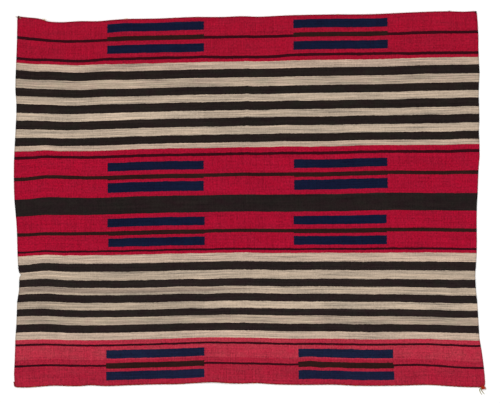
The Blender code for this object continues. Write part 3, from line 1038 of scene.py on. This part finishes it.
@dataclass(frozen=True)
class YarnFinish:
    """The wool of a cord or a knot: two colours that its strands take by their tint, and a pale fuzz."""

    name: str
    first: tuple[float, float, float]
    second: tuple[float, float, float]
    fuzz: tuple[float, float, float]
    fuzz_share: float

    def material(self) -> bpy.types.Material:
        """Builds the material. It reads Object coordinates, and each point's tint and place in its yarn."""
        shader = Shader(self.name)
        place = shader.node("ShaderNodeTexCoord", {}, {}, "Object")
        tint = shader.node("ShaderNodeAttribute", {"attribute_name": "tint"}, {}, "Fac")
        yarn = shader.node("ShaderNodeAttribute", {"attribute_name": "yarn"}, {}, "Vector")
        patches = shader.noise(place, 60.0, 3.0, 0.6)
        fibres = shader.noise(yarn, 4.5, 3.0, 0.6)
        colour = shader.mix(tint, self.first, self.second)
        fuzz = (fibres * 0.6 + patches * 0.4).fade(0.62 - self.fuzz_share * 0.3, 0.72)
        colour = shader.mix(fuzz * 0.75, colour, self.fuzz)
        # Partly real, partly painted: the patches factor is uneven tone of the wool, and the fibres factor
        # follows the bump's height, so it is painted shade in the furrows between the fibres.
        colour = shader.scaled(colour, (0.62 + patches * 0.5) * (0.45 + fibres * 1.4))
        shader.bump(fibres, 0.5 * MM, 0.9)
        return shader.finish(colour, 0.92, 0.02)


TOP_CORD_WOOL = YarnFinish(
    "top_cord_wool", srgb(122, 14, 32), srgb(146, 22, 40), srgb(200, 120, 104), 0.05
)
BOTTOM_CORD_WOOL = YarnFinish(
    "bottom_cord_wool", srgb(108, 22, 26), srgb(150, 46, 32), srgb(214, 150, 96), 0.2
)
DARK_KNOT_WOOL = YarnFinish(
    "dark_knot_wool", srgb(84, 20, 24), srgb(158, 140, 96), srgb(190, 120, 100), 0.05
)
ORANGE_KNOT_WOOL = YarnFinish(
    "orange_knot_wool", srgb(160, 36, 16), srgb(122, 124, 58), srgb(226, 128, 66), 0.25
)
FUZZ_WOOL = YarnFinish("fuzz_wool", srgb(90, 30, 30), srgb(236, 206, 150), srgb(240, 214, 170), 0.1)


@dataclass(frozen=True)
class SelvageStep:
    """A column of the side selvage: how far in from the edge it lies, and half the thickness there."""

    inset: float
    half: float


SELVAGE = (
    SelvageStep(0.0, 0.45),
    SelvageStep(0.35, 1.05),
    SelvageStep(1.1, 1.55),
    SelvageStep(2.2, 1.6),
    SelvageStep(3.2, 1.3),
    SelvageStep(4.0, 0.85),
)


@dataclass
class WovenSheet:
    """The tapestry itself, a closed sheet with its warp ribs on both faces.

    Attributes:
        rug: the field that it lies on.
        rows: how many steps it has along the warps.
        groove: how deep the furrow between two ribs is.
        end_half: half the thickness at the two ends, where the sheet meets its cords.
        extra_rows: rows at the nick of the left side, in millimetres from the top end.
        end_rows: rows that are closer together near each end, in millimetres from it.
    """

    rug: RugField
    rows: int = 32
    groove: float = 0.34
    end_half: float = 0.7
    extra_rows: tuple[float, ...] = (984.0, 996.0, 1008.0)
    end_rows: tuple[float, ...] = (4.0, 8.0, 13.0, 20.0)

    def columns(self) -> tuple[np.ndarray, np.ndarray]:
        """The stations across the sheet in millimetres, and half its thickness at each.

        Ribs and furrows take turns every half pitch, between a rounded selvage at each side.
        """
        first = RIB_PITCH * 2
        inner = np.arange(first, WIDTH - first + RIB_PITCH / 4, RIB_PITCH / 2)
        half = THICKNESS / 2 - self.groove * (np.arange(len(inner)) % 2)
        edge = np.array([step.inset for step in SELVAGE])
        edge_half = np.array([step.half for step in SELVAGE])
        at = np.concatenate([edge, inner, WIDTH - edge[::-1]])
        return at, np.concatenate([edge_half, half, edge_half[::-1]])

    def stations(self) -> tuple[np.ndarray, np.ndarray]:
        """The shares up the sheet between its end cords, and how full the thickness is at each."""
        length = chord(TOP_LEFT, BOTTOM_LEFT)
        inset = (CORD_THICKNESS - SHEET_TUCK) / length
        near = 1.2 / length
        even = np.linspace(inset + near, 1 - inset - near, self.rows)
        close = inset + np.array(self.end_rows) / length
        extra = np.concatenate([1 - np.array(self.extra_rows) / length, close, 1 - close])
        kept = [share for share in even if min(abs(extra - share)) * length > 9]
        kept += [even[0], even[-1]]
        up = np.sort(np.concatenate([kept, extra, [inset, 1 - inset]]))
        full = np.ones(len(up))
        full[[0, -1]] = self.end_half / (THICKNESS / 2)
        return up, full

    def build(self) -> bpy.types.Object:
        """Makes the sheet: top and bottom grids half a thickness either side of the middle, and a rim."""
        at, half = self.columns()
        up, full = self.stations()
        x, y = self.rug.place((at / WIDTH)[None, :], up[:, None])
        thick = half[None, :] * full[:, None]
        middle = self.rug.rise(x, y) + np.maximum(half, THICKNESS / 2)[None, :]
        top = np.stack([x, y, middle + thick], axis=-1).reshape(-1, 3)
        bottom = np.stack([x, y, middle - thick], axis=-1).reshape(-1, 3)
        columns, rows = len(at), len(up)
        count = columns * rows
        j, i = np.meshgrid(np.arange(rows - 1), np.arange(columns - 1), indexing="ij")
        here = (j * columns + i).ravel()
        upper = np.stack([here, here + 1, here + columns + 1, here + columns], axis=-1)
        lower = upper[:, ::-1] + count
        rim = self.rim(columns, rows)
        quads = np.concatenate([upper, lower, rim])
        points = np.concatenate([top, bottom])
        none = np.zeros(len(points))
        surface = Surface(points, quads, np.zeros((0, 3), int), none, np.stack([none] * 3, axis=-1))
        made = surface.build("woven_sheet", self.rug)
        self.add_maps(made.data, at, up, quads, len(rim))
        return made

    @staticmethod
    def rim(columns: int, rows: int) -> np.ndarray:
        """The quads round the edge, from the bottom grid's border to the top grid's, facing outwards."""
        count = columns * rows
        front = np.arange(columns - 1)
        back = front + (rows - 1) * columns
        left = np.arange(rows - 1) * columns
        right = left + columns - 1
        return np.concatenate(
            [
                np.stack([front + count, front + count + 1, front + 1, front], axis=-1),
                np.stack([back + count + 1, back + count, back, back + 1], axis=-1),
                np.stack([left + columns + count, left + count, left, left + columns], axis=-1),
                np.stack([right + count, right + columns + count, right + columns, right], axis=-1),
            ]
        )

    def add_maps(
        self, mesh: bpy.types.Mesh, at: np.ndarray, up: np.ndarray, quads: np.ndarray, rim_count: int
    ) -> None:
        """Adds the sheet's two maps.

        The weave's map is in metres, from the left side and from the top end. The bake's map lays both faces
        over each other, since the weave is the same on both, with the rim as a narrow strip round them.

        Args:
            mesh: the sheet's mesh.
            at: the stations across, in millimetres.
            up: the stations up, as shares.
            quads: its faces.
            rim_count: how many of the last faces are the rim's.
        """
        count = len(at) * len(up)
        corner = quads.ravel()
        column, row = corner % count % len(at), corner % count // len(at)
        across, down = at[column], (1 - up[row]) * LENGTH
        weave = np.stack([across, down], axis=-1) * MM
        mesh.uv_layers.new(name="weave").data.foreach_set("uv", weave.astype(np.float32).ravel())
        margin = 0.006
        flat = np.stack([across / WIDTH, 1 - down / LENGTH], axis=-1) * (1 - 2 * margin) + margin
        strip = np.zeros(len(corner), bool)
        strip[-4 * rim_count :] = True
        outer = strip & (corner >= count)
        flat[outer & (column == 0), 0] = 0.001
        flat[outer & (column == len(at) - 1), 0] = 0.999
        flat[outer & (row == 0), 1] = 0.001
        flat[outer & (row == len(up) - 1), 1] = 0.999
        mesh.uv_layers.new(name="OFBake").data.foreach_set("uv", flat.astype(np.float32).ravel())


@dataclass(frozen=True)
class TurnPoint:
    """A place of the lower cord's turn, in millimetres from the bottom left corner."""

    x: float
    y: float


CORNER_TURN = (
    TurnPoint(1.2, 23.0),
    TurnPoint(1.8, 18.0),
    TurnPoint(2.6, 13.0),
    TurnPoint(3.4, 8.6),
    TurnPoint(5.0, 4.8),
    TurnPoint(9.2, 2.4),
    TurnPoint(15.0, 1.6),
    TurnPoint(20.5, 1.5),
)


@dataclass
class EndCord:
    """A cord of three twisted strands along one end of the sheet.

    Attributes:
        rug: the field that it lies on.
        name: the piece's name.
        up: 1 for the top end and 0 for the bottom end.
        from_left: where it starts, in millimetres from the left corner.
        from_right: where it ends, in millimetres from the right corner.
        turned: whether it carries on round the left corner.
        bump: how far apart two swellings of its outline are.
        strand: the radius of one strand.
        lay: how far a strand's middle lies from the cord's.
        step: from one ring of points to the next.
        ply_pitch: the length of one turn of a strand's two plies.
        ply_depth: how deep the furrow between the plies is, as a share of the radius.
    """

    rug: RugField
    name: str
    up: int
    from_left: float
    from_right: float
    turned: bool = False
    bump: float = 16.0
    strand: float = 1.12
    lay: float = 0.92
    step: float = 1.5
    ply_pitch: float = 7.0
    ply_depth: float = 0.1

    def path(self) -> np.ndarray:
        """The cord's middle line, read at even steps."""
        left, right = (TOP_LEFT, TOP_RIGHT) if self.up else (BOTTOM_LEFT, BOTTOM_RIGHT)
        width = chord(left, right)
        across = np.linspace(self.from_left / width, 1 - self.from_right / width, 180)
        inset = CORD_THICKNESS / 2 / chord(TOP_LEFT, BOTTOM_LEFT)
        x, y = self.rug.place(across, np.full(len(across), 1 - inset if self.up else inset))
        points = np.stack([x, y, self.rug.rise(x, y) + CORD_THICKNESS / 2], axis=-1)
        if self.turned:
            turn = [(left.x + point.x, left.y + point.y, CORD_THICKNESS / 2) for point in CORNER_TURN]
            points = np.concatenate([np.array(turn), points])
        return resampled(points, np.zeros(len(points)), self.step)[0]

    def build(self) -> bpy.types.Object:
        """Makes the cord: three helices round the middle line, a third of a turn apart, each a plied yarn."""
        path = self.path()
        at = run_length(path)
        side, up = frames(path, False)
        swelling = 0.94 + 0.08 * np.cos(at * 2 * math.pi / self.bump)
        ends = np.clip(np.minimum(at, at[-1] - at) / 2.5, 0.25, 1)
        parts = []
        for strand in range(3):
            angle = at * 2 * math.pi / (3 * self.bump) + strand * 2 * math.pi / 3
            off = self.lay * swelling * ends
            middle = path + side * (off * np.cos(angle))[:, None] + up * (off * np.sin(angle))[:, None]
            relief = plied(at, PLY_SIDES, self.ply_pitch, self.ply_depth)
            radius = (self.strand * swelling * ends)[:, None] * relief
            parts.append(tube(middle, radius, PLY_SIDES, (0.0, 0.45, 1.0)[strand]))
        return Surface.joined(parts).build(self.name, self.rug)


@dataclass(frozen=True)
class StrandPoint:
    """A place of a loose strand, in millimetres from its corner, and how thick the strand is there."""

    x: float
    y: float
    z: float
    thick: float


@dataclass(frozen=True)
class LooseStrand:
    """A loose strand of yarn: its route, and its tint."""

    tint: float
    route: tuple[StrandPoint, ...]


def loose_strand(tint: float, *route: tuple[float, float, float, float]) -> LooseStrand:
    """A loose strand from its tint and its places, each given as x, y, z and thickness."""
    return LooseStrand(tint, tuple(StrandPoint(*place) for place in route))


LONG_STRAND = loose_strand(
    0.95,
    (-9.0, 0.4, 4.0, 3.1),
    (-16.0, -2.6, 2.4, 3.0),
    (-21.0, -5.5, 1.0, 2.8),
    (-22.4, -10.0, 0.95, 2.6),
    (-20.2, -17.0, 0.85, 2.4),
    (-16.4, -23.5, 0.7, 1.9),
    (-13.2, -28.6, 0.55, 1.2),
)
CROSS_STRAND = loose_strand(
    0.9,
    (-9.0, -1.5, 3.6, 3.1),
    (-14.6, -6.0, 1.6, 2.8),
    (-14.8, -11.0, 0.95, 2.6),
    (-10.6, -17.4, 0.85, 2.4),
    (-6.4, -22.4, 0.7, 1.9),
    (-2.8, -26.4, 0.55, 1.2),
)
SHORT_STRAND = loose_strand(
    0.7,
    (-5.0, 0.8, 3.6, 2.5),
    (0.6, -0.6, 1.6, 2.2),
    (1.9, -4.6, 0.75, 2.0),
    (1.2, -8.8, 0.55, 1.4),
)
LAID_STRAND = loose_strand(
    0.0,
    (-8.6, 1.5, 6.4, 2.2),
    (-11.6, 8.0, 5.6, 2.0),
    (-13.2, 13.0, 3.9, 1.8),
    (-12.4, 18.0, 3.7, 1.4),
)
EDGE_STRAND = loose_strand(
    0.0,
    (-9.0, 2.0, 7.0, 2.4),
    (-14.0, 4.0, 6.2, 2.3),
    (-19.0, 5.2, 5.6, 2.0),
    (-25.0, 6.0, 4.4, 1.4),
)
LEFT_TAIL = loose_strand(
    0.8,
    (4.5, -3.2, 4.4, 2.2),
    (-1.0, -3.0, 1.6, 2.1),
    (-4.4, -2.6, 1.0, 1.8),
    (-8.2, -2.9, 0.8, 1.2),
)
LEFT_TUCK = loose_strand(
    0.9,
    (5.4, -3.8, 6.0, 2.0),
    (10.6, -7.4, 5.0, 2.0),
    (14.0, -9.0, 4.0, 1.9),
    (15.8, -8.6, 3.6, 1.6),
)


@dataclass
class CornerKnot:
    """A tied-off cord end: loops drawn tight round each other, and any loose strands.

    Attributes:
        rug: the field whose shift it takes.
        name: the piece's name.
        corner: the corner that it is measured from.
        x: its middle, in millimetres from the corner.
        y: the same.
        half_x: half its width along its own axis.
        half_y: half its depth.
        half_z: half its height.
        turn: how far its axis is turned, in degrees.
        lift: how high its underside stands off the floor.
        strands: the loose strands that come out of it.
        steps: points along one loop.
        ply_pitch: the length of one turn of a yarn's two plies.
    """

    rug: RugField
    name: str
    corner: Corner
    x: float
    y: float
    half_x: float
    half_y: float
    half_z: float
    turn: float
    lift: float = 0.0
    strands: tuple[LooseStrand, ...] = ()
    steps: int = 150
    ply_pitch: float = 5.0

    def loop(self, size: float, start: float, half: float) -> Surface:
        """One closed loop, a trefoil pressed to the knot's size: sin t + 2 sin 2t, cos t - 2 cos 2t, -sin 3t.

        Args:
            size: its share of the knot's size.
            start: its turn about the vertical, in radians.
            half: the radius of its yarn.

        Returns:
            The loop's surface.
        """
        t = np.arange(self.steps) * 2 * math.pi / self.steps
        x = (np.sin(t) + 2 * np.sin(2 * t)) / 3 * (self.half_x * size - half)
        y = (np.cos(t) - 2 * np.cos(2 * t)) / 3 * (self.half_y * size - half)
        z = self.lift + self.half_z - np.sin(3 * t) * (self.half_z * size - half)
        turn = math.radians(self.turn) + start
        path = np.stack(
            [
                self.corner.x + self.x + x * math.cos(turn) - y * math.sin(turn),
                self.corner.y + self.y + x * math.sin(turn) + y * math.cos(turn),
                z,
            ],
            axis=-1,
        )
        at = np.arange(self.steps) * run_length(np.concatenate([path, path[:1]]))[-1] / self.steps
        pitch = at[-1] / round(at[-1] / self.ply_pitch)
        radius = half * plied(at, PLY_SIDES, pitch, 0.12)
        return tube(path, radius, PLY_SIDES, 0.0, closed=True)

    def strand(self, loose: LooseStrand) -> Surface:
        """A loose strand: a plied yarn along its route, tapering to its end."""
        route = np.array([(point.x, point.y, point.z) for point in loose.route])
        thick = np.array([point.thick for point in loose.route])
        path, thickness = resampled(route + np.array([self.corner.x, self.corner.y, 0.0]), thick, 0.5)
        at = run_length(path)
        tip = np.clip((at[-1] - at) / 1.5, 0.3, 1)
        radius = (thickness / 2 * tip)[:, None] * plied(at, PLY_SIDES, self.ply_pitch, 0.16)
        return tube(path, radius, PLY_SIDES, loose.tint)

    def build(self) -> bpy.types.Object:
        """Makes the knot from an outer and two inner loops and its strands."""
        least = min(self.half_x, self.half_y)
        loops = [
            self.loop(1.0, 0.0, 0.24 * least),
            self.loop(0.86, math.pi / 3, 0.22 * least),
            self.loop(0.62, 0.4, 0.24 * least),
        ]
        strands = [self.strand(loose) for loose in self.strands]
        return Surface.joined(loops + strands).build(self.name, self.rug)


@dataclass(frozen=True)
class Tuft:
    """A wisp of loose fibres on an end cord: its place, its spread, its height and its tint."""

    up: int
    across: float
    spread: float
    reach: float
    fibres: int
    tint: float


TUFTS = (
    Tuft(1, 104.0, 5.0, 8.0, 48, 0.75),
    Tuft(1, 421.0, 4.0, 6.0, 20, 0.8),
    Tuft(1, 612.0, 4.0, 5.0, 16, 0.75),
    Tuft(1, 700.0, 3.0, 4.0, 10, 0.85),
    Tuft(1, 1240.0, 3.0, 5.0, 12, 0.8),
    Tuft(1, 1674.0, 3.5, 6.0, 22, 0.0),
    Tuft(0, 1774.0, 4.0, 7.0, 26, 1.0),
    Tuft(0, 905.0, 4.0, 5.0, 14, 1.0),
    Tuft(0, 640.0, 4.0, 4.0, 12, 1.0),
    Tuft(0, 1290.0, 4.0, 5.0, 14, 1.0),
)


@dataclass
class StrayFibres:
    """The wool hairs that stand out of the end cords, evenly sparse, with a few thicker wisps.

    Attributes:
        rug: the field that they lie on.
        count: how many single hairs each end has, from the top end to the bottom end.
        radius: half the thickness of a single hair.
        tuft_radius: half the thickness of a hair in a wisp.
        seed: the start of its draws.
    """

    rug: RugField
    count: tuple[int, int] = (90, 520)
    radius: float = 0.11
    tuft_radius: float = 0.22
    seed: int = 5

    def hairs(
        self,
        draw: np.random.Generator,
        up: int,
        across: np.ndarray,
        reach: float,
        tint: float,
        radius: float,
    ) -> list[Surface]:
        """Curved hairs that start in a cord and lean outwards, each a thin tube of three sides.

        Args:
            draw: the source of chance.
            up: 1 for the top end, 0 for the bottom end.
            across: where each starts, in millimetres from the left.
            reach: how far the longest goes.
            tint: their tint.
            radius: half their thickness.

        Returns:
            One surface for each hair.
        """
        inset = CORD_THICKNESS / 2 / chord(TOP_LEFT, BOTTOM_LEFT)
        x, y = self.rug.place(across / WIDTH, np.full(len(across), 1 - inset if up else inset))
        z = self.rug.rise(x, y)
        outwards = 1.0 if up else -1.0
        t = np.linspace(0, 1, 5)
        made = []
        for i in range(len(across)):
            length = reach * draw.uniform(0.35, 1.0)
            lean = draw.normal(0.0, 0.8)
            curl = draw.normal(0.0, 0.5)
            lift = draw.uniform(-0.25, 0.5)
            path = np.stack(
                [
                    x[i] + length * (lean * t + curl * t**2),
                    y[i] + outwards * (1.2 + length * (t * 0.9 - abs(curl) * 0.25 * t**2)),
                    np.maximum(z[i] + 2.2 + length * (lift * t - 0.35 * t**2), 0.15),
                ],
                axis=-1,
            )
            made.append(tube(path, radius * (1 - 0.7 * t), 3, tint))
        return made

    def build(self) -> bpy.types.Object:
        """Makes all the hairs as one mesh."""
        draw = np.random.default_rng(self.seed)
        parts: list[Surface] = []
        for up, count in zip((1, 0), self.count):
            across = np.sort(draw.uniform(20.0, WIDTH - 20.0, count))
            parts += self.hairs(draw, up, across, 3.2, 0.35 if up else 0.85, self.radius)
        for tuft in TUFTS:
            across = tuft.across + draw.normal(0.0, tuft.spread / 2, tuft.fibres)
            parts += self.hairs(draw, tuft.up, across, tuft.reach, tuft.tint, self.tuft_radius)
        return Surface.joined(parts).build("stray_fibres", self.rug)


@dataclass
class Studio:
    """The plain floor, the soft light and the camera straight above.

    Attributes:
        rug: the field that the view is measured on.
        view_x: the middle of the view in the rug's own millimetres.
        view_y: the same.
        view_width: how much the view takes in from side to side, in metres.
        height: how high the camera is, in metres.
        floor_size: the floor's width and depth, in metres.
        floor_drop: how far the floor lies under the rug, in metres.
        surround: how strong the even light from all round is.
        key: how strong the light from the top left is.
        key_spread: how wide its source looks, in degrees.
    """

    rug: RugField
    view_x: float = 2.5
    view_y: float = 4.2
    view_width: float = 1.9252
    height: float = 7.0
    floor_size: float = 14.0
    floor_drop: float = 0.0004
    surround: float = 0.9
    key: float = 1.12
    key_spread: float = 25.0

    def floor(self) -> None:
        """A pale floor with the faintest unevenness of tone."""
        half, low = self.floor_size / 2, -self.floor_drop
        corners = [(-half, -half, low), (half, -half, low), (half, half, low), (-half, half, low)]
        mesh = bpy.data.meshes.new("floor")
        mesh.from_pydata(corners, [], [(0, 1, 2, 3)])
        made = bpy.data.objects.new("floor", mesh)
        bpy.context.scene.collection.objects.link(made)
        shader = Shader("pale_floor")
        place = shader.node("ShaderNodeTexCoord", {}, {}, "Object")
        colour = shader.mix(shader.noise(place, 1.5), (0.96, 0.96, 0.955), (0.98, 0.98, 0.98))
        mesh.materials.append(shader.finish(colour, 0.9, 0.0))

    def lights(self) -> None:
        """An even white surround, and a soft key light from the top left."""
        world = bpy.data.worlds.new("soft_surround")
        world.use_nodes = True
        background = world.node_tree.nodes["Background"]
        background.inputs["Color"].default_value = (1.0, 1.0, 1.0, 1.0)
        background.inputs["Strength"].default_value = self.surround
        bpy.context.scene.world = world
        data = bpy.data.lights.new("key", "SUN")
        data.energy = self.key
        data.angle = math.radians(self.key_spread)
        lamp = bpy.data.objects.new("key", data)
        lamp.rotation_euler = (math.radians(-38), math.radians(-32), 0.0)
        bpy.context.scene.collection.objects.link(lamp)

    def camera(self) -> None:
        """A long lens looking straight down."""
        data = bpy.data.cameras.new("above")
        data.sensor_width = 36.0
        data.lens = data.sensor_width * self.height / self.view_width
        data.clip_end = 100.0
        made = bpy.data.objects.new("above", data)
        made.location = (
            (self.view_x + self.rug.shift_x) * MM,
            (self.view_y + self.rug.shift_y) * MM,
            self.height,
        )
        bpy.context.scene.collection.objects.link(made)
        bpy.context.scene.camera = made
        bpy.context.scene.view_settings.view_transform = "Standard"

    def build(self) -> None:
        """Sets the stage."""
        self.floor()
        self.lights()
        self.camera()


@dataclass(frozen=True)
class Piece:
    """A finished piece: how it is made, its wool, its slot and the CAD nodes that it stands for."""

    make: Callable[[], bpy.types.Object]
    material: bpy.types.Material
    slot: Slot
    nodes: tuple[str, ...] = ()

    def dress(self) -> bpy.types.Object:
        """Makes the piece, gives it its wool and ties it to the frame."""
        made = self.make()
        made.data.materials.append(self.material)
        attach(made, "root")
        if self.nodes:
            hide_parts(*self.nodes)
        LOG.info("%s is dressed in %s", made.name, self.material.name)
        return made


def main() -> None:
    """Loads the frame, makes each piece in order and sets the stage."""
    for old in list(bpy.data.objects):
        bpy.data.objects.remove(old)
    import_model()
    rug = RugField()
    rug.settle(*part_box("rug_cloth"))
    Studio(rug).build()

    sheet = Piece(
        WovenSheet(rug).build, TapestryFinish().material(), Slot.SHEET, ("rug_cloth",)
    ).dress()

    top = EndCord(rug, "top_end_cord", 1, 9.0, 5.6)
    bottom = EndCord(rug, "bottom_end_cord", 0, 26.0, 8.6, turned=True)
    Piece(top.build, TOP_CORD_WOOL.material(), Slot.END_CORD, ("end_cord_top",)).dress()
    Piece(bottom.build, BOTTOM_CORD_WOOL.material(), Slot.END_CORD, ("end_cord_bottom",)).dress()

    dark = DARK_KNOT_WOOL.material()
    top_left = CornerKnot(
        rug, "top_left_knot", TOP_LEFT, 5.2, -4.4, 5.6, 4.6, 2.8, 25, 2.2, (LEFT_TAIL, LEFT_TUCK)
    )
    top_right = CornerKnot(rug, "top_right_knot", TOP_RIGHT, -5.0, -4.6, 5.2, 4.2, 2.6, -20, 2.2)
    loose = (LONG_STRAND, CROSS_STRAND, SHORT_STRAND, LAID_STRAND, EDGE_STRAND)
    bottom_right = CornerKnot(
        rug, "bottom_right_tassel", BOTTOM_RIGHT, -8.4, 0.2, 8.3, 8.0, 4.3, 55, 0.2, loose
    )
    Piece(top_left.build, dark, Slot.DARK_KNOT, ("corner_knot_top_left",)).dress()
    Piece(top_right.build, dark, Slot.DARK_KNOT, ("corner_knot_top_right",)).dress()
    Piece(
        bottom_right.build, ORANGE_KNOT_WOOL.material(), Slot.ORANGE_KNOT, ("corner_tassel_bottom_right",)
    ).dress()
    Piece(StrayFibres(rug).build, FUZZ_WOOL.material(), Slot.END_CORD).dress()


if __name__ == "__main__":
    logging.basicConfig(level=logging.INFO)
    main()
